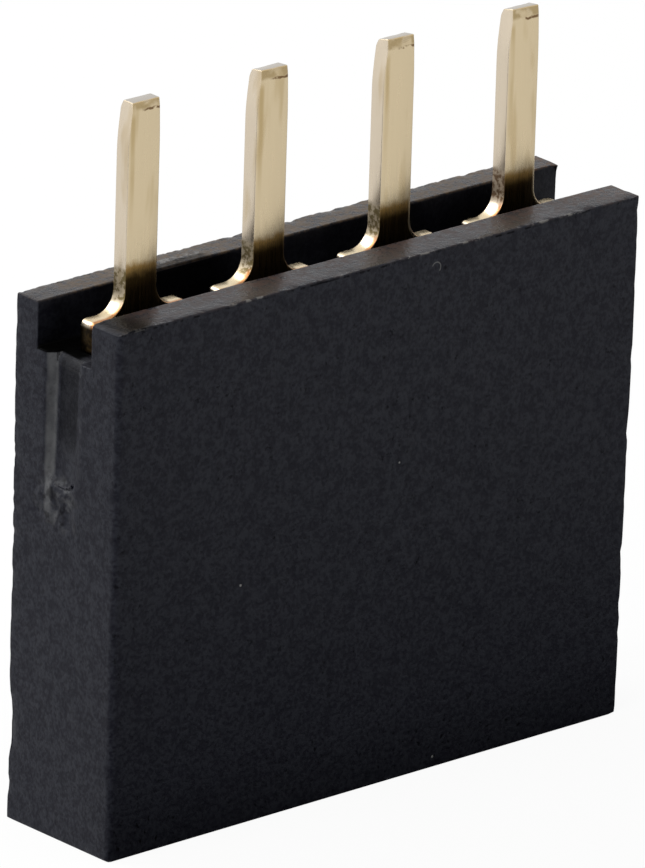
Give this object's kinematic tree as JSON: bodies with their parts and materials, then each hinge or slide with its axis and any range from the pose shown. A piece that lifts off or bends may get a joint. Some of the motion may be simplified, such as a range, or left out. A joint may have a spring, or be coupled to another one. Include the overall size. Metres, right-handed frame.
{
  "type": "female pin header strip",
  "caption": "Single-row female pin header with a slim moulded housing, a channel between two rails on the board side, and stamped fork contacts with straight solder tails.",
  "frame": {"origin": "middle of the mating face, on the surface that the strip stands on", "axes": "+X along the row towards contact_4, +Y across the row towards the thinner rail, +Z out of the board side, along the solder tails"},
  "size_m": [0.0104, 0.0024, 0.0115],
  "materials": {
    "housing": "matte moulded, fine grain",
    "contact": "pale gold plating over stamped bronze, drawn along its length"
  },
  "bodies": {
    "root": {"housing": "housing", "contact_1": "contact", "contact_2": "contact", "contact_3": "contact", "contact_4": "contact"}
  },
  "joints": []
}
